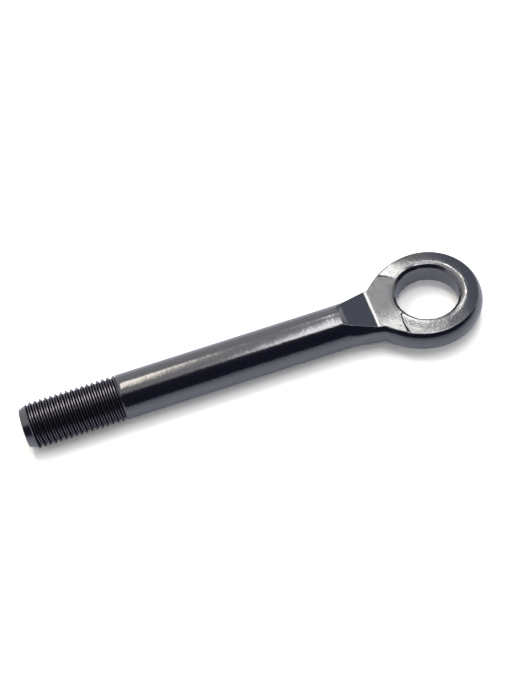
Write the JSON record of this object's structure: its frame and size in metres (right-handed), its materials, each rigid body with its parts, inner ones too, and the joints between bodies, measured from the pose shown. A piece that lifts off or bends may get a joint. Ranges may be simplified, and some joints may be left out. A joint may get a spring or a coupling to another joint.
{
  "type": "threaded tow eye",
  "caption": "Forged one-piece towing eye: a ring with a chamfered bore, pressed neck flats, a long round shank and a coarse screw thread at its free end.",
  "frame": {"origin": "centre of the eye's bore, at half the eye's thickness", "axes": "+Z along the bore's axis; +X along the shank from the threaded tip towards the eye; +Y across the eye"},
  "size_m": [0.2231, 0.0518, 0.022],
  "materials": {
    "black_finish": "satin black coating on forged steel, with a slight blue cast"
  },
  "bodies": {
    "root": {"tow_eye": "black_finish"}
  },
  "joints": []
}
